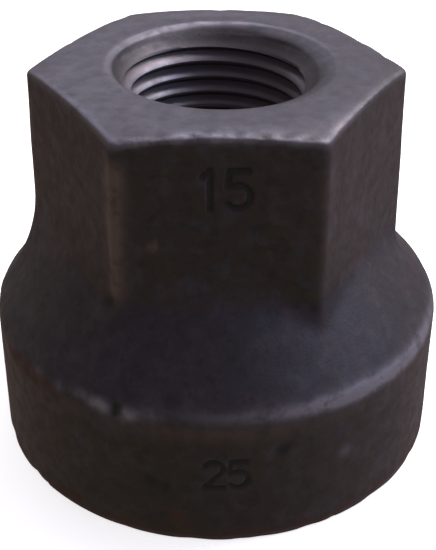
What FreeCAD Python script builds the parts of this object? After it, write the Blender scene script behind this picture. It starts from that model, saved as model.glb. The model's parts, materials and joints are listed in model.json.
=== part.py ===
import FreeCAD, Part
import math
import os
from FreeCAD import Placement, Rotation, Vector

# Hex-ended reducing pipe cap, forged in one piece: a round skirt that screws onto a 1 in pipe,
# a sloping shoulder, and a hex end tapped through for a 1/2 in pipe.
#
# Millimetres, +Z up along the axis that both threads share. The origin is the centre of the
# bottom rim, and one flat of the hex faces -Y.

# Outside of the forging
overall_height = 44.0
skirt_bottom_diameter = 52.2
skirt_top_diameter = 51.5
skirt_height = 16.4
skirt_edge_radius = 1.0
rim_edge_radius = 0.35
shoulder_angle = 49.5  # degrees above the horizontal
shoulder_fillet_radius = 10.0

# Hex end
across_flats = 35.0  # at the top
flat_draft = 1.6  # degrees, so that the hex widens downwards
hex_corner_radius = 1.0
top_flat_diameter = 33.2
top_fall = 15.0  # degrees that the worn top falls away outside its flat middle
top_edge_radius = 0.6

# Threads: American taper pipe threads, cut into straight tap-drilled bores
thread_taper = 1.0 / 16.0  # change of diameter along the axis
flank_half_angle = 30.0
root_flat = 0.07
small_thread = {"pitch": 25.4 / 14.0, "drill": 18.26, "depth_at_mouth": 1.35}
large_thread = {"pitch": 25.4 / 11.5, "drill": 29.37, "depth_at_mouth": 1.62}
large_thread_length = 17.5
large_bore_depth = 20.0
drill_point_angle = 118.0
small_countersink_diameter = 23.5
large_countersink_diameter = 35.0
bore_sectors = 12  # each bore's wall is divided into this many equal faces
groove_start_angle = 7.0

Z_AXIS = Vector(0, 0, 1)


def revolved(points):
    """Turn a closed outline, given as (radius, height) pairs, about the Z axis.

    The seam of the turned faces lies at the middle of a flat, clear of the hex corners.
    """
    outline = Part.makePolygon([Vector(r, 0, z) for r, z in points + points[:1]])
    turned = Part.Face(outline).revolve(Vector(0, 0, 0), Z_AXIS, 360)
    turned.rotate(Vector(0, 0, 0), Z_AXIS, 30)
    return turned


def revolved_in_sectors(points):
    """Turn an outline that reaches the axis, with its curved faces divided into equal sectors."""
    step = 360.0 / bore_sectors
    outline = Part.Face(Part.makePolygon([Vector(r, 0, z) for r, z in points + points[:1]]))
    wedge = outline.revolve(Vector(0, 0, 0), Z_AXIS, step)
    wedges = []
    for number in range(bore_sectors):
        turned = wedge.copy()
        turned.rotate(Vector(0, 0, 0), Z_AXIS, number * step)
        wedges.append(turned)
    return wedges[0].fuse(wedges[1:])


def hex_end():
    """The hex: a round blank with a falling top, cut by six flats that lean with the draft."""
    corner = across_flats / math.cos(math.radians(30)) / 2 + 3
    top_radius = top_flat_diameter / 2
    fall = (corner - top_radius) * math.tan(math.radians(top_fall))
    blank = revolved([
        (0, skirt_height / 2),
        (corner, skirt_height / 2),
        (corner, overall_height - fall),
        (top_radius, overall_height),
        (0, overall_height),
    ])
    size = 4 * corner
    for number in range(6):
        waste = Part.makeBox(size, size, size, Vector(0, -size / 2, -size / 2))
        waste.rotate(Vector(0, 0, 0), Vector(0, 1, 0), -flat_draft)
        waste.translate(Vector(across_flats / 2, 0, overall_height))
        waste.rotate(Vector(0, 0, 0), Z_AXIS, 30 + 60 * number)
        blank = blank.cut(waste)
    uprights = [edge for edge in blank.Edges if is_upright(edge)]
    return blank.makeFillet(hex_corner_radius, uprights).Solids[0]


def is_upright(edge):
    box = edge.BoundBox
    return box.ZLength > overall_height / 3 and box.DiagonalLength < box.ZLength * 1.1


def skirt_and_shoulder():
    """The round skirt, and the cone above it that runs up into the hex."""
    top_radius = skirt_top_diameter / 2
    bottom_radius = skirt_bottom_diameter / 2
    tip_radius = across_flats / 2 - 3
    tip_height = skirt_height + (top_radius - tip_radius) * math.tan(math.radians(shoulder_angle))
    return revolved([
        (0, 0),
        (bottom_radius, 0),
        (top_radius, skirt_height),
        (tip_radius, tip_height),
        (0, tip_height),
    ])


def fillet_where(shape, radius, wanted):
    """Round the edges whose middle point passes the test."""
    chosen = []
    for edge in shape.Edges:
        middle = edge.valueAt((edge.FirstParameter + edge.LastParameter) / 2)
        if wanted(math.hypot(middle.x, middle.y), middle.z):
            chosen.append(edge)
    return shape.makeFillet(radius, chosen)


def forging():
    """The outside of the body, still solid."""
    body = hex_end().fuse(skirt_and_shoulder()).Solids[0]
    body = fillet_where(body, shoulder_fillet_radius, lambda r, z: r < 23 and 18 < z < 30)
    body = fillet_where(body, skirt_edge_radius, lambda r, z: r > 24 and z > 10)
    body = fillet_where(body, rim_edge_radius, lambda r, z: r > 24 and z < 1)
    return fillet_where(body, top_edge_radius, lambda r, z: r > 17 and z > overall_height - 3)


def thread_groove(thread, length, lead_in):
    """The V groove of a taper thread. Its mouth is at z = 0 and the hole runs down from there."""
    pitch = thread["pitch"]
    mouth_root = thread["drill"] / 2 + thread["depth_at_mouth"]
    start_z = -length
    start_root = mouth_root + start_z * thread_taper / 2
    half_taper = math.degrees(math.atan(thread_taper / 2))
    helix = Part.makeLongHelix(pitch, length + lead_in, start_root, half_taper)
    helix.translate(Vector(0, 0, start_z))
    # The V is as deep as it can be without touching the turn beside it.
    v_depth = (0.97 * pitch - root_flat) / 2 / math.tan(math.radians(flank_half_angle))
    half_mouth = 0.97 * pitch / 2
    outline = Part.makePolygon([
        Vector(start_root, 0, start_z - root_flat / 2),
        Vector(start_root, 0, start_z + root_flat / 2),
        Vector(start_root - v_depth, 0, start_z + half_mouth),
        Vector(start_root - v_depth, 0, start_z - half_mouth),
        Vector(start_root, 0, start_z - root_flat / 2),
    ])
    sweep = Part.BRepOffsetAPI.MakePipeShell(helix)
    sweep.setBiNormalMode(Z_AXIS)
    sweep.add(outline)
    sweep.build()
    sweep.makeSolid()
    groove = sweep.shape()
    groove.rotate(Vector(0, 0, 0), Z_AXIS, groove_start_angle)
    return groove


def small_bore_length():
    radius_step = (large_thread["drill"] - small_thread["drill"]) / 2
    point_height = radius_step / math.tan(math.radians(drill_point_angle / 2))
    return overall_height - large_bore_depth - point_height


def bores():
    """Both tap-drilled holes with their countersinks, as one tool."""
    small = small_thread["drill"] / 2
    large = large_thread["drill"] / 2
    small_sink = small_countersink_diameter / 2
    large_sink = large_countersink_diameter / 2
    clear = 1.0
    top = overall_height
    return revolved_in_sectors([
        (0, -clear),
        (large_sink + clear, -clear),
        (large, large_sink - large),
        (large, large_bore_depth),
        (small, top - small_bore_length()),
        (small, top - (small_sink - small)),
        (small_sink + clear, top + clear),
        (0, top + clear),
    ])


def cap_body():
    body = forging().cut(bores())
    upper = thread_groove(small_thread, small_bore_length() + small_thread["pitch"], 1.5)
    upper.translate(Vector(0, 0, overall_height))
    lower = thread_groove(large_thread, large_thread_length, 1.5)
    lower.rotate(Vector(0, 0, 0), Vector(1, 0, 0), 180)
    body = body.cut(upper)
    body = body.cut(lower)
    return body


os.makedirs("parts", exist_ok=True)
shape = cap_body()
print("cap_body", shape.ShapeType, len(shape.Solids), "solid, valid", shape.isValid(),
      "volume", round(shape.Volume), "faces", len(shape.Faces))
shape.exportStep("parts/cap_body.step")
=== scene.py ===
import json
import math
from collections import namedtuple

import bmesh
import bpy
import numpy as np
from mathutils import Matrix, Vector


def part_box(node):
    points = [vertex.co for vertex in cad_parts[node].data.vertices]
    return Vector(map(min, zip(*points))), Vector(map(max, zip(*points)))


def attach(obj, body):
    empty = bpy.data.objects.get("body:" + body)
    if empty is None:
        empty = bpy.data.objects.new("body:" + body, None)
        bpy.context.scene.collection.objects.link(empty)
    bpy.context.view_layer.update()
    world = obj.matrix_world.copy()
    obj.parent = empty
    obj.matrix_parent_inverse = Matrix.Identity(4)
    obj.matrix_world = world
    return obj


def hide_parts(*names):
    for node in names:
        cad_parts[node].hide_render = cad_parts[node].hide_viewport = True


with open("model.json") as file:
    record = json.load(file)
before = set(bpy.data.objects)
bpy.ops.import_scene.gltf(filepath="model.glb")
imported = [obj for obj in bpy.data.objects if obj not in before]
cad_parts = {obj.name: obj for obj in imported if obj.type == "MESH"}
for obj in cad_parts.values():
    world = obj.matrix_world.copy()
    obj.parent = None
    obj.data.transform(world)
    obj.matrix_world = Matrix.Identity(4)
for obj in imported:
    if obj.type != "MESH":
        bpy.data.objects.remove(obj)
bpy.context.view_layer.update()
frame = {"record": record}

# A one-piece reducing pipe cap in black iron: round skirt, sloping shoulder, and a hex end tapped
# through. The mesh code works in millimetres and the scene in metres, in the CAD frame: +Z up along
# the thread axis, origin at the centre of the bottom rim, one hex flat facing -Y.
MM = 0.001
BODY_NODE = "cap_body"


# ---------------------------------------------------------------- sizes

def mount_named(name):
    for mount in frame["record"]["mounts"]:
        if mount["name"] == name:
            return mount
    raise KeyError(name)


_, box_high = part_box(BODY_NODE)
HEIGHT = box_high[2] / MM
RIM_RADIUS = box_high[0] / MM - 0.1  # at the lower end of the skirt's wall
small_drill_radius = mount_named("half_inch_pipe_thread")["dims"]["r_mm"]
large_drill_radius = mount_named("one_inch_pipe_thread")["dims"]["r_mm"]

HALF_FLATS = 17.5  # half the distance across the flats, at the top
FLAT_DRAFT = 0.029  # half the flats' widening per millimetre down
HEX_CORNER_RADIUS = 1.2
TOP_FLAT_RADIUS = 16.8
TOP_FALL = math.tan(math.radians(15))  # how steeply the worn top falls away outside its flat middle
TOP_SOFTNESS = 1.3  # how gently the flat middle turns into the falling part
TOP_INNER_RADIUS = 13.4  # the fall's formula isn't followed any further in than this
TOP_EDGE_ROUNDING = 1.2

SKIRT_HEIGHT = 16.45
SKIRT_EDGE_RISE = 0.4  # the skirt's edge bows up by this much at the front
SKIRT_TOP_RADIUS = 25.72
SKIRT_EDGE_ROUNDING = 1.1
RIM_EDGE_RADIUS = 0.35
SHOULDER_SLOPE = 0.915  # radius lost per millimetre of height
SHOULDER_SLOPE_FRONT = 0.2  # less than that at the front, where the shoulder is fuller
SHOULDER_BLEND = 3.8  # how far the shoulder's curve reaches into the hex, on average
SHOULDER_BLEND_LEAN = 2.3  # more than that on the -X side, less on the +X side
SHOULDER_BLEND_FRONT = 2.0  # less than that at the front

SMALL_PITCH = 25.4 / 14
LARGE_PITCH = 25.4 / 11.5
SMALL_PHASE = HEIGHT - 2.6 - SMALL_PITCH / 4  # height of a groove at angle 0
LARGE_PHASE = 0.4
SMALL_ROWS_PER_TURN = 10
LARGE_ROWS_PER_TURN = 9
THREAD_TAPER = 1 / 32  # change of radius per millimetre along the axis
FLANK_SLOPE = math.tan(math.radians(30))
ROOT_ROUNDING = 0.2
CREST_ROUNDING = 0.6
SMALL_ROOT_DEPTH = 1.15  # below the drilled wall, at the mouth
LARGE_ROOT_DEPTH = 1.66
SMALL_SINK_RADIUS = 11.75
LARGE_SINK_RADIUS = 17.5
SMALL_LIP_RADIUS = 1.8
LARGE_LIP_RADIUS = 0.45
SMALL_MOUTH_RADIUS = 10.9  # on the upper countersink, where the threaded part of the mesh begins
SMALL_SINK_OFFSET = (0.5, 0.1)  # the upper countersink was cut a little off the axis
MOUTH_STEP = 0.1  # from the end of the outside's mesh to the first ring of the small thread
LARGE_MOUTH_HEIGHT = 0.9
LARGE_BORE_DEPTH = 20.0
LARGE_THREAD_END = (15.8, 18.4)  # heights between which the thread runs out
BORE_TOP_GAP = 0.25  # from the last ring of the large thread to the ledge
LEDGE_EDGE = 0.3  # width of the first ring of the ledge
LEDGE_RADIUS = 12.0
LEDGE_SLOPE = 1 / math.tan(math.radians(59))  # a drill point's rise per millimetre of radius

COLUMNS = 336
OUTSIDE_ROWS = 190
EVEN_ROWS = 2.0  # rows per millimetre where nothing calls for more

# Punched sizes: sideways and middle place the number's centre, from the front and from the bottom,
# and reach is half the width in which the mesh points are looked at
Mark = namedtuple("Mark", "text height stroke depth sideways middle reach")
FLAT_MARK = Mark("15", 4.1, 0.7, 0.26, 0.3, 38.2, 6)
SKIRT_MARK = Mark("25", 3.6, 0.65, 0.24, 0.6, 9.4, 7)
NUMERAL_SPACING = 0.7  # times the numerals' height


# ---------------------------------------------------------------- number helpers

def smooth_max(a, b, blend):
    overlap = np.maximum(blend - np.abs(a - b), 0) / blend
    return np.maximum(a, b) + overlap * overlap * blend / 4


def smooth_min(a, b, blend):
    return -smooth_max(-a, -b, blend)


def smooth_step(value, start, end):
    t = np.clip((value - start) / (end - start), 0, 1)
    return t * t * (3 - 2 * t)


def band(value, middle, width):
    """1 at the middle of a band, fading out on both sides of it."""
    return np.exp(-(((value - middle) / width) ** 2))


class Noise:
    """Smooth lattice noise between -1 and 1, from a seeded table."""

    def __init__(self, seed):
        self.table = np.random.default_rng(seed).uniform(-1, 1, (32, 32, 32))

    def __call__(self, points, size):
        scaled = np.asarray(points) / size
        cell = np.floor(scaled).astype(int)
        part = scaled - cell
        part = part * part * (3 - 2 * part)
        total = 0
        for dx in (0, 1):
            for dy in (0, 1):
                for dz in (0, 1):
                    weight = (
                        np.abs(1 - dx - part[..., 0])
                        * np.abs(1 - dy - part[..., 1])
                        * np.abs(1 - dz - part[..., 2])
                    )
                    corner = self.table[
                        (cell[..., 0] + dx) % 32,
                        (cell[..., 1] + dy) % 32,
                        (cell[..., 2] + dz) % 32,
                    ]
                    total = total + weight * corner
        return total


# ---------------------------------------------------------------- columns around the axis

def degrees_from(turn, degrees):
    """How many degrees apart a turn in radians and a direction are, the short way round."""
    return np.degrees(np.abs(np.angle(np.exp(1j * (turn - math.radians(degrees))))))


def column_angles(count):
    """Angles of the mesh columns, closer together at the hex corners and the stamped numerals."""
    fine = np.radians(np.arange(0, 360, 0.05))
    density = np.full(len(fine), 1.0)
    for corner in range(0, 360, 60):
        density += 1.6 * band(degrees_from(fine, corner), 0, 2.2)
    density += 1.7 * (1 - smooth_step(degrees_from(fine, 270), 11, 15))
    total = np.concatenate([[0], np.cumsum(density)])
    edges = np.append(fine, 2 * math.pi)
    return np.interp(np.arange(count) / count * total[-1], total, edges)


angles = column_angles(COLUMNS)
inner_angles = angles[::2]


# ---------------------------------------------------------------- outside shape

def hex_radius(angle, half_flats, corner_radius):
    """Distance from the axis to a hexagon with rounded corners, with a flat facing -Y."""
    across = (angle + math.pi / 6) % (math.pi / 3) - math.pi / 6
    from_flat = math.pi / 6 - np.abs(across)
    flat = half_flats / np.cos(from_flat)
    centre = (half_flats - corner_radius) / math.cos(math.pi / 6)
    from_corner = np.abs(across)
    reach = corner_radius**2 - (centre * np.sin(from_corner)) ** 2
    corner = centre * np.cos(from_corner) + np.sqrt(np.maximum(reach, 0))
    tangent = np.arctan2(centre * 0.5, half_flats)
    return np.where(from_flat > tangent, corner, flat)


def skirt_edge_height(angle):
    return SKIRT_HEIGHT + SKIRT_EDGE_RISE * np.maximum(-np.sin(angle), 0) ** 12


def outside_radius(angle, z):
    """Radius of the outside at a height, above the bottom rounding."""
    edge = skirt_edge_height(angle)
    skirt = RIM_RADIUS + (SKIRT_TOP_RADIUS - RIM_RADIUS) * np.minimum(z / edge, 1)
    to_front = max(-math.sin(angle), 0)
    slope = SHOULDER_SLOPE - SHOULDER_SLOPE_FRONT * to_front**2
    shoulder = SKIRT_TOP_RADIUS - (z - edge) * slope
    flare = smooth_min(skirt, shoulder, SKIRT_EDGE_ROUNDING)
    sides = hex_radius(angle, HALF_FLATS + FLAT_DRAFT * (HEIGHT - z), HEX_CORNER_RADIUS)
    blend = SHOULDER_BLEND - SHOULDER_BLEND_LEAN * math.cos(angle)
    blend -= SHOULDER_BLEND_FRONT * to_front
    radius = smooth_max(sides, flare, blend)
    fallen = np.maximum(HEIGHT - z, 0.001)
    falling_top = TOP_FLAT_RADIUS + fallen / TOP_FALL - TOP_SOFTNESS**2 * TOP_FALL / (4 * fallen)
    falling_top = np.maximum(falling_top, TOP_INNER_RADIUS)
    return smooth_min(radius, falling_top, TOP_EDGE_ROUNDING)


def arc(centre, radius, start, end, steps):
    """Points of an arc in the (radius, height) plane, with angles in degrees."""
    turn = np.radians(np.linspace(start, end, steps))
    return centre[0] + radius * np.cos(turn), centre[1] + radius * np.sin(turn)


def outside_path(angle):
    """The outside's section at one angle, from the lower countersink round to the upper one."""
    half_turn = math.tan(math.radians(22.5))
    small_lip = SMALL_LIP_RADIUS
    large_lip = LARGE_LIP_RADIUS
    heights = np.concatenate([
        np.linspace(RIM_EDGE_RADIUS, HEIGHT - 3, 900),
        np.linspace(HEIGHT - 3, HEIGHT, 900)[1:],
    ])
    large_lip_centre = (LARGE_SINK_RADIUS + large_lip * half_turn, large_lip)
    small_lip_centre = (SMALL_SINK_RADIUS + small_lip * half_turn, HEIGHT - small_lip)
    stretches = [
        arc(large_lip_centre, large_lip, 225, 270, 8),
        arc((RIM_RADIUS - RIM_EDGE_RADIUS, RIM_EDGE_RADIUS), RIM_EDGE_RADIUS, 270, 360, 12),
        (outside_radius(angle, heights), heights),
        arc(small_lip_centre, small_lip, 90, 135, 12),
        ([SMALL_MOUTH_RADIUS], [HEIGHT - (SMALL_SINK_RADIUS - SMALL_MOUTH_RADIUS)]),
    ]
    r = np.concatenate([stretch[0] for stretch in stretches])
    z = np.concatenate([stretch[1] for stretch in stretches])
    return r, z


def rows_per_millimetre(r, z, side_radius):
    """How closely the mesh rows lie along the section: closer on edges, lips and numerals."""
    density = np.full(len(r), EVEN_ROWS)

    def closer(distance, reach, rows):
        near = 1 - smooth_step(distance, reach, reach * 1.6)
        np.maximum(density, EVEN_ROWS + (rows - EVEN_ROWS) * near, out=density)

    def from_mark(mark, inner_radius):
        far_away = 9
        return np.abs(z - mark.middle) + np.where(r > inner_radius, 0, far_away)

    closer(np.hypot(r - RIM_RADIUS, z), 1.0, 6.0)
    closer(np.hypot(r - LARGE_SINK_RADIUS, z), 0.6, 7.0)
    closer(from_mark(SKIRT_MARK, RIM_RADIUS - 2), 2.5, 5.0)
    closer(np.hypot(r - SKIRT_TOP_RADIUS, z - SKIRT_HEIGHT), 1.1, 5.5)
    closer(from_mark(FLAT_MARK, HALF_FLATS - 1), 2.9, 5.0)
    fall = (side_radius - TOP_FLAT_RADIUS) * TOP_FALL
    closer(np.hypot(r - side_radius, z - HEIGHT + fall), 1.1, 7.0)
    closer(np.hypot(r - SMALL_SINK_RADIUS, z - HEIGHT), 0.7, 8.0)
    return density


def outside_grid():
    """Points of the outside, one section per column, with the same number of rows in each."""
    grid = np.empty((COLUMNS, OUTSIDE_ROWS, 3))
    share = np.linspace(0, 1, OUTSIDE_ROWS)
    for column, angle in enumerate(angles):
        r, z = outside_path(angle)
        side_radius = float(hex_radius(angle, HALF_FLATS, HEX_CORNER_RADIUS))
        density = rows_per_millimetre(r, z, side_radius)
        step = np.hypot(np.diff(r), np.diff(z)) * (density[1:] + density[:-1]) / 2
        travelled = np.concatenate([[0], np.cumsum(step)])
        along = share * travelled[-1]
        row_r = np.interp(along, travelled, r)
        grid[column, :, 0] = row_r * math.cos(angle)
        grid[column, :, 1] = row_r * math.sin(angle)
        grid[column, :, 2] = np.interp(along, travelled, z)
    return grid


def shift_countersink(grid):
    """Move the upper countersink's lip sideways, and nothing at the thread or out on the hex."""
    x, y, z = grid[..., 0], grid[..., 1], grid[..., 2]
    radius = np.hypot(x, y)
    share = smooth_step(radius, SMALL_MOUTH_RADIUS - 0.1, SMALL_SINK_RADIUS)
    share = share * (1 - smooth_step(radius, SMALL_SINK_RADIUS + 1.0, TOP_FLAT_RADIUS))
    share = share * (z > HEIGHT - 2)
    moved = grid.copy()
    moved[..., 0] += share * SMALL_SINK_OFFSET[0]
    moved[..., 1] += share * SMALL_SINK_OFFSET[1]
    return moved


def grid_normals(grid):
    """Outward normals of a grid that closes round the axis."""
    around = np.roll(grid, -1, axis=0) - np.roll(grid, 1, axis=0)
    along = np.empty_like(grid)
    along[:, 1:-1] = grid[:, 2:] - grid[:, :-2]
    along[:, 0] = grid[:, 1] - grid[:, 0]
    along[:, -1] = grid[:, -1] - grid[:, -2]
    normal = np.cross(around, along)
    return normal / np.linalg.norm(normal, axis=2, keepdims=True)


def grid_curvature(grid, normal, reach):
    """How strongly the surface bends outwards, per millimetre. In creases it is less than 0."""
    total = 0
    for axis in (0, 1):
        if axis == 0:
            ahead, behind = np.roll(grid, -reach, 0), np.roll(grid, reach, 0)
            turned, back = np.roll(normal, -reach, 0), np.roll(normal, reach, 0)
        else:
            rows = np.arange(grid.shape[1])
            after, before = np.minimum(rows + reach, rows[-1]), np.maximum(rows - reach, 0)
            ahead, behind = grid[:, after], grid[:, before]
            turned, back = normal[:, after], normal[:, before]
        run = ahead - behind
        length = np.maximum((run * run).sum(2), 1e-6)
        total = total + ((turned - back) * run).sum(2) / length
    return total


# ---------------------------------------------------------------- stamped numerals

def bend(centre, radius, start, end, steps=9):
    turn = np.radians(np.linspace(start, end, steps))
    return [(centre[0] + radius * math.cos(t), centre[1] + radius * math.sin(t)) for t in turn]


# Strokes on a cell 0.6 wide and 1 tall, centred on the origin
NUMERAL_STROKES = {
    "1": [[(-0.12, 0.33), (0.06, 0.5), (0.06, -0.5)]],
    "2": [bend((0.0, 0.22), 0.27, 165, -35) + [(-0.27, -0.48), (0.29, -0.48)]],
    "5": [[(0.25, 0.48), (-0.2, 0.48), (-0.24, 0.06)] + bend((0.0, -0.18), 0.3, 125, -140, 13)],
}


def stroke_distance(u, v, points):
    best = np.full(np.shape(u), 1e9)
    for (au, av), (bu, bv) in zip(points, points[1:]):
        du, dv = bu - au, bv - av
        t = np.clip(((u - au) * du + (v - av) * dv) / (du * du + dv * dv), 0, 1)
        best = np.minimum(best, np.hypot(u - au - t * du, v - av - t * dv))
    return best


def stamped_depth(along, z, mark):
    """Depth of a punched number, at a distance along the surface from the front and a height."""
    u, v = along - mark.sideways, z - mark.middle
    nearest = np.full(np.shape(u), 1e9)
    for place, numeral in enumerate(mark.text):
        middle = (place - (len(mark.text) - 1) / 2) * NUMERAL_SPACING * mark.height
        for stroke in NUMERAL_STROKES[numeral]:
            scaled = [(middle + a * mark.height, b * mark.height) for a, b in stroke]
            nearest = np.minimum(nearest, stroke_distance(u, v, scaled))
    groove = 1 - smooth_step(nearest, mark.stroke * 0.22, mark.stroke * 0.62)
    burr = band(nearest, mark.stroke * 0.8, mark.stroke * 0.25)
    return mark.depth * groove - 0.08 * mark.depth * burr


def marks(grid):
    """Depth of the two punched sizes: one on the front flat and one on the skirt below it."""
    x, y, z = grid[..., 0], grid[..., 1], grid[..., 2]
    depth = np.zeros(x.shape)

    def near(mark, deepest_y):
        return (np.abs(x) < mark.reach) & (y < deepest_y) & (np.abs(z - mark.middle) < mark.height)

    flat = near(FLAT_MARK, 2.5 - HALF_FLATS)
    depth[flat] = stamped_depth(x[flat], z[flat], FLAT_MARK)
    skirt = near(SKIRT_MARK, 3 - RIM_RADIUS)
    along = RIM_RADIUS * np.arctan2(x[skirt], -y[skirt])
    depth[skirt] = stamped_depth(along, z[skirt], SKIRT_MARK)
    return depth


# ---------------------------------------------------------------- forged surface

def dent_depth(points, dents):
    """Depth of soft dents, each given as (centre, radius, depth)."""
    depth = np.zeros(points.shape[:-1])
    for centre, radius, deep in dents:
        away = ((points - np.array(centre)) ** 2).sum(-1) / radius**2
        depth += deep * np.exp(-away)
    return depth


def edge_dents(count, seed, place, sizes, depths):
    """Random knocks along an edge that place(turn) follows, for turn in radians."""
    draw = np.random.default_rng(seed)
    dents = []
    for _ in range(count):
        turn = draw.uniform(0, 2 * math.pi)
        dents.append((place(turn), draw.uniform(*sizes), draw.uniform(*depths)))
    return dents


def on_top_edge(turn):
    radius = float(hex_radius(np.array(turn), HALF_FLATS, HEX_CORNER_RADIUS))
    fall = (radius - TOP_FLAT_RADIUS) * TOP_FALL
    return (radius * math.cos(turn), radius * math.sin(turn), HEIGHT - fall)


def on_skirt_edge(turn):
    return (SKIRT_TOP_RADIUS * math.cos(turn), SKIRT_TOP_RADIUS * math.sin(turn), SKIRT_HEIGHT)


def on_rim_edge(turn):
    return (RIM_RADIUS * math.cos(turn), RIM_RADIUS * math.sin(turn), 0.2)


def on_skirt(degrees, z):
    turn = math.radians(degrees)
    radius = float(outside_radius(turn, np.array(z)))
    return (radius * math.cos(turn), radius * math.sin(turn), z)


def on_front_edge(x):
    radius = math.hypot(x, HALF_FLATS)
    return (x, -HALF_FLATS + 0.1, HEIGHT - 0.1 - max(radius - TOP_FLAT_RADIUS, 0) * TOP_FALL)


# Random knocks along an edge: how many, seed, which edge, range of radii and range of depths
EDGE_KNOCKS = [
    (40, 11, on_top_edge, (0.3, 0.8), (0.02, 0.12)),
    (24, 12, on_skirt_edge, (0.6, 1.5), (0.01, 0.06)),
    (34, 13, on_rim_edge, (0.4, 1.3), (0.02, 0.12)),
]
# Knocks with a place of their own, each as (centre, radius, depth)
FRONT_EDGE_NICKS = [
    (on_front_edge(-5.4), 1.1, 0.14),
    (on_front_edge(1.6), 0.9, 0.1),
    (on_front_edge(6.2), 0.9, 0.15),
    (on_front_edge(8.6), 0.7, 0.1),
]
SKIRT_EDGE_NICKS = [
    (on_skirt(-114.2, SKIRT_HEIGHT + 0.1), 0.42, 0.28),
    (on_skirt(-114.5, SKIRT_HEIGHT - 0.6), 0.5, 0.28),
]
SKIRT_EDGE_DENTS = [
    (on_skirt(-121.8, SKIRT_HEIGHT), 1.3, 0.08),
    (on_skirt(-38.0, SKIRT_HEIGHT), 1.1, 0.08),
]
PITS = [
    (on_skirt(-75.9, 12.2), 0.8, 0.25),
    (on_skirt(-105.9, 8.1), 0.75, 0.22),
    (on_skirt(-102.6, 7.6), 0.6, 0.18),
    ((-11.1, -17.4, 25.3), 0.75, 0.3),
]
BARE_SPOTS = [
    ((-6.45, -17.8, 32.2), 0.55, 0.12),
]

# Places without a dent of their own, each as (centre, radius, how strong)
# Worn spots, brightened as painted highlights on the front top edge and along the skirt's edge.
WORN_AND_HIGHLIGHT_SPOTS = [
    (on_skirt(-125.5, SKIRT_HEIGHT), 0.6, 0.35),
    (on_skirt(-123.5, SKIRT_HEIGHT), 0.5, 0.4),
    (on_skirt(-120.4, SKIRT_HEIGHT - 0.4), 0.7, 0.75),
    (on_skirt(-118.8, SKIRT_HEIGHT - 0.2), 0.6, 0.6),
    (on_skirt(-117.3, SKIRT_HEIGHT - 0.5), 0.65, 0.8),
    (on_skirt(-111.9, SKIRT_HEIGHT - 0.6), 0.8, 1.1),
    (on_skirt(-109.3, SKIRT_HEIGHT - 0.3), 0.6, 0.45),
    (on_skirt(-106.0, SKIRT_HEIGHT - 0.2), 0.9, 0.4),
    (on_skirt(-131.0, SKIRT_HEIGHT - 0.3), 0.7, 0.3),
    (on_skirt(-139.0, SKIRT_HEIGHT - 0.3), 0.8, 0.3),
    (on_skirt(-58.8, 9.4), 0.8, 0.4),
    (on_skirt(-66.5, SKIRT_HEIGHT), 0.8, 0.3),
    (on_skirt(-60.5, SKIRT_HEIGHT + 0.1), 0.8, 0.4),
    (on_skirt(-55.0, SKIRT_HEIGHT + 0.1), 1.0, 0.4),
    (on_front_edge(-7.6), 0.6, 0.55),
    (on_front_edge(-6.2), 0.5, 0.45),
    (on_front_edge(-3.8), 0.8, 0.3),
    (on_front_edge(-0.4), 0.7, 0.5),
    (on_front_edge(1.1), 0.6, 0.45),
    (on_front_edge(2.6), 0.6, 0.35),
    (on_front_edge(7.0), 0.7, 0.3),
]
RUST_SPOTS = [
    (on_skirt(-99.9, 4.0), 1.5, 0.8),
    (on_skirt(-134.0, SKIRT_HEIGHT - 0.4), 1.3, 0.8),
    (on_skirt(-141.0, SKIRT_HEIGHT - 0.6), 1.5, 0.8),
    (on_skirt(-149.0, SKIRT_HEIGHT - 0.3), 1.8, 0.8),
    (on_skirt(-12.0, 13.0), 3.0, 0.6),
    (on_skirt(-20.0, 5.0), 3.0, 0.5),
    (on_skirt(-168.0, 10.0), 3.0, 0.5),
]


def roughen(grid, normal):
    """Push the smooth outside into a forged, knocked-about one."""
    z = grid[..., 2]
    waves, lumps, grain = Noise(3), Noise(5), Noise(8)
    depth = 0.06 * waves(grid, 9.0) + 0.03 * lumps(grid, 3.3) + 0.012 * grain(grid, 1.1)
    on_top = smooth_step(z, HEIGHT - 0.7, HEIGHT - 0.1)
    under = smooth_step(z, 0.3, 0.0)
    # The top's flat middle and the rim were cut, so the top is nearly smooth and the rim is flat.
    depth = depth * (1 - np.maximum(on_top, under)) + 0.02 * on_top * (1 + lumps(grid, 2.1))
    for count, seed, place, sizes, depths in EDGE_KNOCKS:
        depth += dent_depth(grid, edge_dents(count, seed, place, sizes, depths))
    depth += dent_depth(grid, FRONT_EDGE_NICKS + SKIRT_EDGE_DENTS + SKIRT_EDGE_NICKS)
    depth += dent_depth(grid, PITS + BARE_SPOTS)
    depth += marks(grid)
    return grid - normal * depth[..., None]


# ---------------------------------------------------------------- threads and bores

def thread_radius(angle, z, pitch, phase, root, crest):
    """Radius of a right-hand V thread in a straight bore, where root is the taper's radius."""
    turned = z - pitch * angle / (2 * math.pi) - phase
    offset = (turned + pitch / 2) % pitch - pitch / 2
    rounded = np.sqrt(offset**2 + ROOT_ROUNDING**2) - ROOT_ROUNDING
    return smooth_max(root - rounded / FLANK_SLOPE, crest, CREST_ROUNDING)


def small_wall_radius(angle, z):
    """The hex end's bore: countersink, taper thread, then the drill point's cone below."""
    below_mouth = HEIGHT - z
    root = small_drill_radius + SMALL_ROOT_DEPTH - below_mouth * THREAD_TAPER
    wall = thread_radius(angle, z, SMALL_PITCH, SMALL_PHASE, root, small_drill_radius)
    sink = SMALL_SINK_RADIUS - below_mouth
    cone = large_drill_radius - (z - LARGE_BORE_DEPTH) / LEDGE_SLOPE
    return np.maximum(smooth_max(wall, sink, 0.15), cone)


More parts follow.
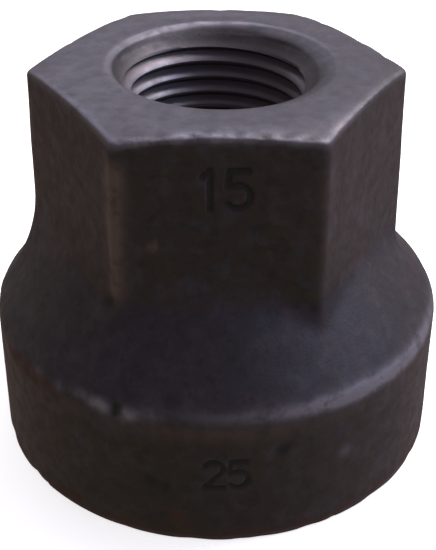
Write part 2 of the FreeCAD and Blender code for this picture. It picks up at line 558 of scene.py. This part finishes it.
def large_wall_radius(angle, z):
    """The skirt's bore: countersink, then a taper thread that runs out below the ledge."""
    fade = 1 - smooth_step(z, *LARGE_THREAD_END)
    root = large_drill_radius + (LARGE_ROOT_DEPTH - z * THREAD_TAPER) * fade
    wall = thread_radius(angle, z, LARGE_PITCH, LARGE_PHASE, root, large_drill_radius)
    sink = LARGE_SINK_RADIUS - z
    return smooth_max(wall, sink, 0.15)


class Shell:
    """Collects points and faces of one closed mesh."""

    def __init__(self):
        self.points = []
        self.faces = []

    def add(self, x, y, z):
        self.points.append((x, y, z))
        return len(self.points) - 1

    def add_grid(self, grid):
        first = len(self.points)
        self.points.extend(map(tuple, grid.reshape(-1, 3)))
        return first + np.arange(grid.shape[0] * grid.shape[1]).reshape(grid.shape[:2])

    def join(self, ring_a, ring_b):
        """Quads between two rings of the same length."""
        count = len(ring_a)
        for i in range(count):
            j = (i + 1) % count
            self.faces.append((ring_a[i], ring_a[j], ring_b[j], ring_b[i]))

    def join_double(self, fine, coarse):
        """Join a ring to one with half as many points."""
        count = len(coarse)
        for i in range(count):
            j = (i + 1) % count
            a, b, c = fine[2 * i], fine[2 * i + 1], fine[(2 * i + 2) % len(fine)]
            self.faces.append((a, b, coarse[i]))
            self.faces.append((b, c, coarse[j], coarse[i]))

    def ring(self, turn_angles, radius, z):
        return [self.add(radius * math.cos(a), radius * math.sin(a), z) for a in turn_angles]

    def threaded_wall(self, low_ring, high_ring, z_low, z_high, pitch, phase, rows_per_turn, wall):
        """A wall whose rows climb with the thread, between two level rings."""
        spacing = pitch / rows_per_turn
        columns = []
        for angle in inner_angles:
            start = phase + pitch * angle / (2 * math.pi)
            first = math.floor((z_low - start) / spacing + 0.35) + 1
            last = math.ceil((z_high - start) / spacing - 0.35) - 1
            rows = {}
            for row in range(first, last + 1):
                z = start + row * spacing
                radius = float(wall(angle, z))
                rows[row] = self.add(radius * math.cos(angle), radius * math.sin(angle), z)
            columns.append(rows)
        count = len(columns)
        for i in range(count):
            j = (i + 1) % count
            left = columns[i]
            shift = rows_per_turn if j == 0 else 0
            right = {row - shift: point for row, point in columns[j].items()}
            self.stitch(left, right, (low_ring[i], low_ring[j]), (high_ring[i], high_ring[j]))

    def stitch(self, left, right, low, high):
        """Faces between two neighbouring columns, whose rows differ by one at the ends."""
        start = max(min(left), min(right))
        stop = min(max(left), max(right))
        for row in range(start, stop):
            self.faces.append((left[row], right[row], right[row + 1], left[row + 1]))
        right_low = [right[row] for row in sorted(right) if row <= start]
        left_low = [left[row] for row in sorted(left, reverse=True) if row <= start]
        self.faces.append((low[0], low[1], *right_low, *left_low))
        right_high = [right[row] for row in sorted(right, reverse=True) if row >= stop]
        left_high = [left[row] for row in sorted(left) if row >= stop]
        self.faces.append((*left_high, high[0], high[1], *right_high))


def build_body():
    shell = Shell()
    smooth = shift_countersink(outside_grid())
    outside = roughen(smooth, grid_normals(smooth))
    index = shell.add_grid(outside)
    for row in range(OUTSIDE_ROWS - 1):
        shell.join(index[:, row], index[:, row + 1])

    upper_z = HEIGHT - (SMALL_SINK_RADIUS - SMALL_MOUTH_RADIUS) - MOUTH_STEP
    upper_mouth = shell.ring(inner_angles, SMALL_MOUTH_RADIUS - MOUTH_STEP, upper_z)
    shell.join_double(index[:, -1], upper_mouth)
    ledge_z = LARGE_BORE_DEPTH + (large_drill_radius - LEDGE_RADIUS) * LEDGE_SLOPE
    ledge = shell.ring(inner_angles, LEDGE_RADIUS, ledge_z)
    shell.threaded_wall(ledge, upper_mouth, ledge_z, upper_z, SMALL_PITCH, SMALL_PHASE,
                        SMALL_ROWS_PER_TURN, small_wall_radius)

    corner_z = LARGE_BORE_DEPTH + LEDGE_EDGE * LEDGE_SLOPE
    corner = shell.ring(inner_angles, large_drill_radius - LEDGE_EDGE, corner_z)
    shell.join(ledge, corner)
    bore_top_z = LARGE_BORE_DEPTH - BORE_TOP_GAP
    bore_top = shell.ring(inner_angles, large_drill_radius, bore_top_z)
    shell.join(corner, bore_top)
    lower_z = LARGE_MOUTH_HEIGHT
    lower_mouth = shell.ring(inner_angles, LARGE_SINK_RADIUS - lower_z, lower_z)
    shell.threaded_wall(lower_mouth, bore_top, lower_z, bore_top_z, LARGE_PITCH, LARGE_PHASE,
                        LARGE_ROWS_PER_TURN, large_wall_radius)
    shell.join_double(index[:, 0], lower_mouth)
    return shell, outside, index


def make_object(name, shell):
    mesh = bpy.data.meshes.new(name)
    points = [(x * MM, y * MM, z * MM) for x, y, z in shell.points]
    faces = [tuple(int(i) for i in face) for face in shell.faces]
    mesh.from_pydata(points, [], faces)
    mesh.validate()
    made = bpy.data.objects.new(name, mesh)
    bpy.context.scene.collection.objects.link(made)
    return made


def turn_faces_out(made):
    work = bmesh.new()
    work.from_mesh(made.data)
    bmesh.ops.recalc_face_normals(work, faces=work.faces)
    if work.calc_volume(signed=True) < 0:
        bmesh.ops.reverse_faces(work, faces=work.faces)
    open_edges = sum(1 for edge in work.edges if not edge.is_manifold)
    print("mesh", len(work.verts), "points", sum(len(f.verts) - 2 for f in work.faces), "triangles",
          open_edges, "open edges", round(work.calc_volume() * 1e9), "mm3")
    work.to_mesh(made.data)
    work.free()


# ---------------------------------------------------------------- materials

class Nodes:
    """Short names for building a material's node tree."""

    def __init__(self, name):
        self.material = bpy.data.materials.new(name)
        self.material.use_nodes = True
        self.tree = self.material.node_tree
        self.tree.nodes.clear()

    def new(self, kind, **settings):
        node = self.tree.nodes.new(kind)
        for key, value in settings.items():
            setattr(node, key, value)
        return node

    def link(self, source, target):
        self.tree.links.new(source, target)

    def noise(self, vector, scale, detail=4.0, roughness=0.55, distortion=0.0):
        node = self.new("ShaderNodeTexNoise")
        node.inputs["Scale"].default_value = scale
        node.inputs["Detail"].default_value = detail
        node.inputs["Roughness"].default_value = roughness
        node.inputs["Distortion"].default_value = distortion
        self.link(vector, node.inputs["Vector"])
        return node.outputs["Fac"]

    def ramp(self, value, low, high, to_low=0.0, to_high=1.0):
        """Smooth change from to_low to to_high while the value goes from low to high."""
        node = self.new("ShaderNodeMapRange", interpolation_type="SMOOTHSTEP")
        node.inputs["From Min"].default_value = low
        node.inputs["From Max"].default_value = high
        node.inputs["To Min"].default_value = to_low
        node.inputs["To Max"].default_value = to_high
        self.link(value, node.inputs["Value"])
        return node.outputs["Result"]

    def math(self, operation, a, b):
        node = self.new("ShaderNodeMath", operation=operation)
        for socket, value in zip(node.inputs, (a, b)):
            if isinstance(value, (int, float)):
                socket.default_value = value
            else:
                self.link(value, socket)
        return node.outputs[0]

    def mix(self, factor, a, b, blend="MIX"):
        node = self.new("ShaderNodeMix", data_type="RGBA", blend_type=blend)
        self.link(factor, node.inputs["Factor"])
        for socket, value in ((node.inputs[6], a), (node.inputs[7], b)):
            if isinstance(value, tuple):
                socket.default_value = (*value, 1.0)
            else:
                self.link(value, socket)
        return node.outputs[2]

    def attribute(self, name):
        return self.new("ShaderNodeAttribute", attribute_name=name).outputs["Fac"]


# Linear colours
# The violet black and the brown black are painted reflections: violet on the shoulder and top for
# the cool light from above, brown on the upright faces for the warm room.
VIOLET_BLACK = (0.021, 0.018, 0.027)
BROWN_BLACK = (0.027, 0.018, 0.014)
GREY_SCALE = (0.042, 0.038, 0.043)
MAUVE_SCALE = (0.056, 0.040, 0.047)
BLUE_SCALE = (0.034, 0.037, 0.049)
# The deep black also paints shade in creases and on the countersink's right side.
DEEP_BLACK = (0.004, 0.0035, 0.004)
# The rubbed brown also paints a sheen on the front-left upright corner.
RUBBED_AND_SHEEN_BROWN = (0.13, 0.095, 0.078)
# The cut iron is lighter than bare cut metal, as painted light in the bores, where little light
# reaches.
CUT_IRON_AND_BORE_LIGHT = (0.11, 0.098, 0.112)
# The worn grey, tinted blue, also paints highlights.
WORN_AND_HIGHLIGHT_IRON = (0.25, 0.245, 0.28)
RUST = (0.12, 0.045, 0.018)
FLOOR_WHITE = (0.9, 0.9, 0.9)


def black_iron():
    """Black oxide over a forged skin: brown and violet casts that paint reflected light, grey edges
    that are part bare metal and part painted highlight, painted shade in creases, and a little
    rust.
    """
    n = Nodes("black_iron")
    place = n.new("ShaderNodeTexCoord").outputs["Object"]
    scale = n.new("ShaderNodeVectorMath", operation="SCALE")
    scale.inputs["Scale"].default_value = 1 / MM
    n.link(place, scale.inputs[0])
    where = scale.outputs[0]

    # The black scale: slow changes of cast, a painted reflection with violet on the shoulder and
    # top for the cool light from above and brown on the upright faces for the warm room, then
    # patches, speckle and dark blotches.
    # A noise's scale is 1 / the size of its marks in millimetres.
    wander = n.math("MULTIPLY", n.noise(where, 0.16, 3.0), 0.9)
    cast = n.ramp(n.math("ADD", n.attribute("brown"), wander), 0.6, 1.3)
    colour = n.mix(cast, VIOLET_BLACK, BROWN_BLACK)
    tint = n.mix(n.ramp(n.noise(where, 0.28, 3.0), 0.42, 0.58), MAUVE_SCALE, BLUE_SCALE)
    patches = n.ramp(n.noise(where, 0.45, 5.0, 0.6), 0.45, 0.7)
    colour = n.mix(n.math("MULTIPLY", patches, 0.75), colour, tint)
    speckle = n.ramp(n.noise(where, 2.6, 3.0, 0.6), 0.55, 0.72)
    colour = n.mix(n.math("MULTIPLY", speckle, 0.55), colour, GREY_SCALE)
    blotches = n.ramp(n.noise(where, 0.8, 4.0, 0.6), 0.5, 0.66)
    colour = n.mix(n.math("MULTIPLY", blotches, 0.45), colour, DEEP_BLACK)

    machined = n.attribute("machined")
    # Cut iron in the bores, lightened as painted light.
    colour = n.mix(machined, colour, CUT_IRON_AND_BORE_LIGHT)

    # What the point attributes say, broken up by a noise
    breakup = n.ramp(n.noise(where, 0.5, 4.0, 0.6), 0.32, 0.58, 0.45, 1.15)
    # Lighter brown, partly a painted sheen on the front-left upright corner.
    rubbed_and_sheen = n.math("MULTIPLY", n.attribute("rubbed_and_sheen"), breakup)
    colour = n.mix(n.math("MINIMUM", rubbed_and_sheen, 1.0), colour, RUBBED_AND_SHEEN_BROWN)
    # The grey is partly bare metal from use and partly painted highlights and painted light on the
    # edges, the lip, the thread crests and the top.
    bare_and_highlit = n.math("MINIMUM", n.math("MULTIPLY", n.attribute("wear_and_highlight"), breakup), 1.0)
    colour = n.mix(bare_and_highlit, colour, WORN_AND_HIGHLIGHT_IRON)
    # Painted shade in creases and on the countersink's right side; darker in the stamps, pits and
    # nicks, low on the skirt and on the shoulder.
    colour = n.mix(n.attribute("shade_and_darkening"), colour, DEEP_BLACK)

    rust_spread = n.noise(where, 0.35, 6.0, 0.7)
    rust = n.ramp(n.math("MULTIPLY", n.attribute("rust"), rust_spread), 0.3, 0.6)
    colour = n.mix(n.math("MULTIPLY", rust, 0.45), colour, RUST)

    shader = n.new("ShaderNodeBsdfPrincipled")
    n.link(colour, shader.inputs["Base Color"])
    # Duller where rusty, glossier where cut, and more metallic where bare and where highlights are
    # painted
    sheen = n.ramp(n.noise(where, 0.7, 5.0, 0.6), 0.3, 0.7, 0.42, 0.56)
    rough = n.math("ADD", sheen, n.math("MULTIPLY", rust, 0.25))
    rough = n.math("SUBTRACT", rough, n.math("MULTIPLY", machined, 0.05))
    n.link(rough, shader.inputs["Roughness"])
    bare_highlit_and_cut = n.math("MAXIMUM", bare_and_highlit, n.math("MULTIPLY", machined, 0.4))
    metal = n.math("ADD", 0.2, n.math("MULTIPLY", bare_highlit_and_cut, 0.5))
    n.link(metal, shader.inputs["Metallic"])
    shader.inputs["IOR"].default_value = 1.6

    grain = n.noise(where, 3.2, 4.0, 0.65)
    fine = n.noise(where, 9.0, 3.0, 0.6)
    relief = n.math("ADD", grain, n.math("MULTIPLY", fine, 0.4))
    bump = n.new("ShaderNodeBump")
    bump.inputs["Strength"].default_value = 0.35
    bump.inputs["Distance"].default_value = 0.08 * MM
    n.link(relief, bump.inputs["Height"])
    n.link(bump.outputs["Normal"], shader.inputs["Normal"])

    output = n.new("ShaderNodeOutputMaterial")
    n.link(shader.outputs["BSDF"], output.inputs["Surface"])
    return n.material


def pale_floor():
    n = Nodes("pale_floor")
    shader = n.new("ShaderNodeBsdfPrincipled")
    shader.inputs["Base Color"].default_value = (*FLOOR_WHITE, 1.0)
    shader.inputs["Roughness"].default_value = 0.9
    shader.inputs["Specular IOR Level"].default_value = 0.1
    shader.inputs["Emission Color"].default_value = (*FLOOR_WHITE, 1.0)
    shader.inputs["Emission Strength"].default_value = 0.8
    output = n.new("ShaderNodeOutputMaterial")
    n.link(shader.outputs["BSDF"], output.inputs["Surface"])
    return n.material


# ---------------------------------------------------------------- the body

def set_attribute(made, name, values):
    layer = made.data.attributes.new(name, "FLOAT", "POINT")
    layer.data.foreach_set("value", np.asarray(values, np.float32))


def facing(turn, degrees):
    """1 on the side of the body at that angle, falling to 0 on the side opposite."""
    return 0.5 + 0.5 * np.cos(turn - math.radians(degrees))


# How strong a kind of wear, rubbing, rust, darkening, painted highlight or painted shade is: all
# round, and how much more towards one side of the body. The side is in degrees round the axis (-90
# is the front, 0 is +X), and the higher the focus, the closer it keeps to that side.
Lean = namedtuple("Lean", "all_round extra side focus")
# The top edge's grey is wear, brightened towards the front as a painted highlight; the top's front
# margin is a painted highlight band, and the top face is painted lighter on its left and back, as
# where the light falls.
TOP_EDGE_WEAR_AND_HIGHLIGHT = Lean(0.18, 0.25, -98, 8)
TOP_MARGIN_HIGHLIGHT = Lean(0, 0.13, -85, 8)
TOP_LEFT_PAINTED_LIGHT = Lean(0, 0.13, -170, 2)
TOP_BACK_PAINTED_LIGHT = Lean(0, 0.1, 90, 4)
# The lip's grey is wear, brightened on the far side as a painted highlight; the thread crests' grey
# on the left-back side is a painted highlight, and the skirt edge's grey is a little wear all round
# and a painted highlight on the right.
LIP_WEAR_AND_HIGHLIGHT = Lean(0, 1, 105, 2)
CREST_HIGHLIGHT = Lean(0, 0.95, 145, 8)
SKIRT_EDGE_WEAR_AND_HIGHLIGHT = Lean(0.04, 1.55, -48, 12)
RIM_WEAR = 0.35
# The front-left upright corner's lighter brown is partly rubbing and partly a painted sheen.
CORNER_RUB_AND_SHEEN = Lean(0.05, 1.8, -150, 4)
UNDER_EDGE_RUB = Lean(0, 0.38, -88, 16)
# Darker low on the skirt, most on the front-left, and on the shoulder just above the skirt's edge,
# on the right and on the left.
LOW_SKIRT_DARKENING = Lean(0, 0.3, -115, 2)
SHOULDER_DARKENING_RIGHT = Lean(0, 0.13, -42, 8)
SHOULDER_DARKENING_LEFT = Lean(0, 0.12, -168, 8)
# Painted shade on the countersink's right side and in creases.
SINK_SHADE = Lean(0, 0.55, 5, 3)
CREASE_SHADE = 0.3
# Darker in the stamps.
STAMP_DARKENING = 0.95
UNDER_EDGE_RUST = Lean(0.7, -0.1, -88, 16)


class Places:
    """Where points lie: their height, distance from the axis, and turn round it in radians."""

    def __init__(self, points):
        self.points = points
        self.z = points[..., 2]
        self.radius = np.hypot(points[..., 0], points[..., 1])
        self.turn = np.arctan2(points[..., 1], points[..., 0])

    def leaning(self, lean):
        return lean.all_round + lean.extra * facing(self.turn, lean.side) ** lean.focus


def grey_and_highlit_places(at, bent):
    """Grey metal on the edges, on the countersink's lip and on parts of the top: bare from use,
    brightened as painted highlights on the front of the top edge, the far side of the lip, the
    top's front margin and the skirt edge's right side, and painted light on the top face's left and
    back.
    """
    side_radius = hex_radius(at.turn, HALF_FLATS, HEX_CORNER_RADIUS)
    above_edge = at.z - (HEIGHT - TOP_FALL * (side_radius - TOP_FLAT_RADIUS))
    # The top edge is wear all round, brightened towards the front as a painted highlight.
    top = smooth_step(above_edge, -1.3, -0.2) * smooth_step(at.radius, 12.8, 14.0)
    top *= at.leaning(TOP_EDGE_WEAR_AND_HIGHLIGHT)
    # A painted highlight band just inside the front top edge.
    margin = smooth_step(at.radius - side_radius, -2.6, -1.0) * smooth_step(above_edge, -0.8, -0.2)
    margin *= at.leaning(TOP_MARGIN_HIGHLIGHT)
    # Painted light: the top face lighter on its left and back.
    face = at.leaning(TOP_LEFT_PAINTED_LIGHT) + at.leaning(TOP_BACK_PAINTED_LIGHT) * smooth_step(at.radius, 13, 15)
    face *= smooth_step(at.z, HEIGHT - 2.0, HEIGHT - 0.5)
    # The lip is wear, brightened on the far side as a painted highlight.
    lip = band(at.radius, SMALL_SINK_RADIUS + 0.5, 0.8) * (at.z > HEIGHT - 1.0)
    lip *= at.leaning(LIP_WEAR_AND_HIGHLIGHT)
    # The skirt's edge is a little wear all round and a painted highlight on the right.
    skirt = band(at.z - skirt_edge_height(at.turn), -0.05, 0.72)
    skirt *= smooth_step(at.radius, 22.5, 24.0) * at.leaning(SKIRT_EDGE_WEAR_AND_HIGHLIGHT)
    rim = RIM_WEAR * smooth_step(at.z, 1.6, 0.6)
    return bent * (top + lip + rim) + margin + face + skirt + dent_depth(at.points, WORN_AND_HIGHLIGHT_SPOTS)


def lighter_brown_places(at):
    """Lighter brown on the hex's upright corners, under the skirt's edge and on one bare spot; on
    the front-left corner it is partly rubbing and partly a painted sheen.
    """
    from_corner = at.radius * ((at.turn + math.pi / 6) % (math.pi / 3) - math.pi / 6)
    upright = smooth_step(at.z, 24, 28) * (1 - smooth_step(at.z, HEIGHT - 4.2, HEIGHT - 2.2))
    upright *= band(from_corner, -0.1, 1.0) * at.leaning(CORNER_RUB_AND_SHEEN)
    upright *= 0.7 + 0.3 * smooth_step(at.z, 29, 38)
    bare = smooth_step(dent_depth(at.points, BARE_SPOTS), 0.0, 0.12)
    under_edge = band(at.z - skirt_edge_height(at.turn), -1.9, 1.1)
    under_edge *= (at.radius > SKIRT_TOP_RADIUS - 1) * at.leaning(UNDER_EDGE_RUB)
    return upright + bare + under_edge


def darkened_places(at, tight):
    """Black in the stamps, pits and nicks, painted shade in creases, and a little darker low on the
    skirt and on the shoulder.
    """
    stamped = STAMP_DARKENING * smooth_step(marks(at.points), 0.02, 0.14)
    # Painted shade in creases.
    creases = CREASE_SHADE * smooth_step(-tight, 0.4, 1.8)
    pits = smooth_step(dent_depth(at.points, PITS + SKIRT_EDGE_NICKS), 0.0, 0.2)
    low = smooth_step(at.z, 13, 2) * at.leaning(LOW_SKIRT_DARKENING)
    shoulder = smooth_step(at.z, 17.5, 19) * (1 - smooth_step(at.z, 23, 27))
    shoulder *= at.leaning(SHOULDER_DARKENING_RIGHT) + at.leaning(SHOULDER_DARKENING_LEFT)
    return stamped + creases + pits + low + shoulder


def surface_masks(shell, outside, index):
    """Where the body is grey from use and painted highlights, lighter brown with a painted corner
    sheen, darker with painted shade in places, rusty, brown against a painted violet reflection,
    and cut, one value per mesh point.
    """
    normal = grid_normals(outside)
    tight = grid_curvature(outside, normal, 1)
    broad = grid_curvature(outside, normal, 3)
    bent = smooth_step(0.5 * tight + 0.5 * broad, 0.1, 0.65)
    skin = Places(outside)
    masks = {name: np.zeros(len(shell.points)) for name in ("wear_and_highlight", "rubbed_and_sheen", "shade_and_darkening")}
    masks["wear_and_highlight"][index] = np.clip(grey_and_highlit_places(skin, bent), 0, 1)
    masks["rubbed_and_sheen"][index] = np.clip(lighter_brown_places(skin), 0, 1)
    masks["shade_and_darkening"][index] = np.clip(darkened_places(skin, tight), 0, 0.95)

    at = Places(np.array(shell.points))
    below_edge = band(at.z, SKIRT_HEIGHT - 1.6, 1.2) * (at.radius > SKIRT_TOP_RADIUS - 2)
    below_edge *= at.leaning(UNDER_EDGE_RUST)
    rust = below_edge + band(at.z, 0, 3.2) + dent_depth(at.points, RUST_SPOTS)
    masks["rust"] = np.clip(rust, 0, 1.1)
    # Brown away from the shoulder, violet on it and on the top: a painted reflection, violet for
    # the cool light from above and brown for the warm room.
    from_shoulder = np.abs(at.z - 20.5)
    masks["brown"] = np.where(at.radius > 12, smooth_step(from_shoulder, 4.0, 6.0), 0.4)
    masks["brown"] *= 1 - smooth_step(at.z, HEIGHT - 1.5, HEIGHT - 0.5)
    in_small = (1 - smooth_step(at.radius, 9.7, 10.5)) * (at.z > LARGE_BORE_DEPTH)
    in_large = (1 - smooth_step(at.radius, 16.3, 17.3)) * (at.z < LARGE_BORE_DEPTH + 2)
    masks["machined"] = np.maximum(in_small, in_large)
    # Painted highlights on the thread crests, on the left-back side of the small bore.
    crests = (1 - smooth_step(at.radius, 9.3, 9.8)) * (at.z > LARGE_BORE_DEPTH)
    masks["wear_and_highlight"] += crests * at.leaning(CREST_HIGHLIGHT)
    # Painted shade on the countersink's right side.
    sink = 1 - smooth_step(at.radius, 11.4, 12.2)
    sink *= smooth_step(at.z, HEIGHT - 3.2, HEIGHT - 2.4) * at.leaning(SINK_SHADE)
    masks["shade_and_darkening"] = np.minimum(masks["shade_and_darkening"] + sink, 0.95)
    return masks


shell, outside, index = build_body()
body = make_object("cap_body_forging", shell)
turn_faces_out(body)
for name, values in surface_masks(shell, outside, index).items():
    set_attribute(body, name, values)
body.data.shade_smooth()
body.data.set_sharp_from_angle(angle=math.radians(55))
body.data.materials.append(black_iron())
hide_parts(BODY_NODE)
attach(body, "root")


# ---------------------------------------------------------------- floor, light and camera

FLOOR_SIZE = 100  # metres, so that its far side is out of sight
LIGHT_DISTANCE = 0.6
# Name, (azimuth, elevation) in degrees, (width, height) in metres, power in watts, tint
LIGHTS = [
    ("back", (192, 43), (0.62, 0.4), 1.5, (0.74, 0.75, 1.0)),
    ("overhead", (122, 52), (0.34, 0.34), 3.5, (1.0, 0.9, 0.97)),
    ("right", (82, 34), (0.45, 0.4), 0.84, (0.55, 0.68, 1.0)),
]

# Colours of the dim room round the object
FRONT_ABOVE = (0.247, 0.208, 0.252)
FRONT_BELOW = (0.236, 0.203, 0.165)
BACK_ABOVE = (0.324, 0.282, 0.232)
BACK_BELOW = (0.247, 0.186, 0.170)
RIGHT_BELOW = (0.42, 0.35, 0.39)

CAMERA_LENS = 69.74
CAMERA_AZIMUTH = -0.967
CAMERA_ELEVATION = 33.11
CAMERA_ROLL = 0.204
CAMERA_TARGET = (0.178, 0.0, 17.2)  # millimetres
CAMERA_DISTANCE = 0.12686


def direction(azimuth, elevation):
    """Unit vector towards a place round the object: azimuth 0 is at -Y, in front, and 90 at +X."""
    azimuth = math.radians(azimuth)
    elevation = math.radians(elevation)
    level = math.cos(elevation)
    return Vector((math.sin(azimuth) * level, -math.cos(azimuth) * level, math.sin(elevation)))


def add_floor():
    bpy.ops.mesh.primitive_plane_add(size=FLOOR_SIZE, location=(0, 0, 0))
    floor = bpy.context.object
    floor.name = "floor"
    floor.data.materials.append(pale_floor())
    floor.visible_glossy = False
    floor.visible_diffuse = False


def add_softbox(name, towards, size, power, tint):
    back = direction(*towards)
    data = bpy.data.lights.new(name, "AREA")
    data.shape = "RECTANGLE"
    data.size, data.size_y = size
    data.energy = power
    data.color = tint
    light = bpy.data.objects.new(name, data)
    light.location = Vector((0, 0, HEIGHT * MM / 2)) + back * LIGHT_DISTANCE
    light.rotation_euler = (-back).to_track_quat("-Z", "Y").to_euler()
    bpy.context.scene.collection.objects.link(light)


def add_camera():
    data = bpy.data.cameras.new("camera")
    data.lens = CAMERA_LENS
    data.sensor_width = 36
    data.clip_start = 0.01
    camera = bpy.data.objects.new("camera", data)
    back = direction(CAMERA_AZIMUTH, CAMERA_ELEVATION)
    camera.location = Vector(CAMERA_TARGET) * MM + back * CAMERA_DISTANCE
    level = (-back).to_track_quat("-Z", "Y").to_matrix()
    roll = Matrix.Rotation(math.radians(CAMERA_ROLL), 3, "Z")
    camera.rotation_euler = (level @ roll).to_euler()
    bpy.context.scene.collection.objects.link(camera)
    bpy.context.scene.camera = camera


def set_world():
    """A dim room: brighter behind and on the right, browner below."""
    world = bpy.data.worlds.new("studio")
    world.use_nodes = True
    tree = world.node_tree
    towards = tree.nodes.new("ShaderNodeTexCoord")
    split = tree.nodes.new("ShaderNodeSeparateXYZ")
    tree.links.new(towards.outputs["Generated"], split.inputs[0])

    def mixed(part, start, end, low, high):
        """The low colour turns into the high one while the direction's part goes start to end."""
        change = tree.nodes.new("ShaderNodeMapRange")
        change.interpolation_type = "SMOOTHSTEP"
        change.inputs["From Min"].default_value = start
        change.inputs["From Max"].default_value = end
        tree.links.new(split.outputs[part], change.inputs["Value"])
        mix = tree.nodes.new("ShaderNodeMix")
        mix.data_type = "RGBA"
        tree.links.new(change.outputs["Result"], mix.inputs["Factor"])
        for socket, colour in ((mix.inputs[6], low), (mix.inputs[7], high)):
            if isinstance(colour, tuple):
                socket.default_value = (*colour, 1.0)
            else:
                tree.links.new(colour, socket)
        return mix.outputs[2]

    below = mixed("X", 0.2, 0.9, mixed("Y", -0.5, 0.4, FRONT_BELOW, BACK_BELOW), RIGHT_BELOW)
    above = mixed("Y", -0.5, 0.4, FRONT_ABOVE, BACK_ABOVE)
    room = mixed("Z", -0.3, 0.2, below, above)
    background = tree.nodes["Background"]
    tree.links.new(room, background.inputs["Color"])
    bpy.context.scene.world = world


add_floor()
set_world()
for light in LIGHTS:
    add_softbox(*light)
add_camera()
bpy.context.scene.view_settings.view_transform = "Standard"
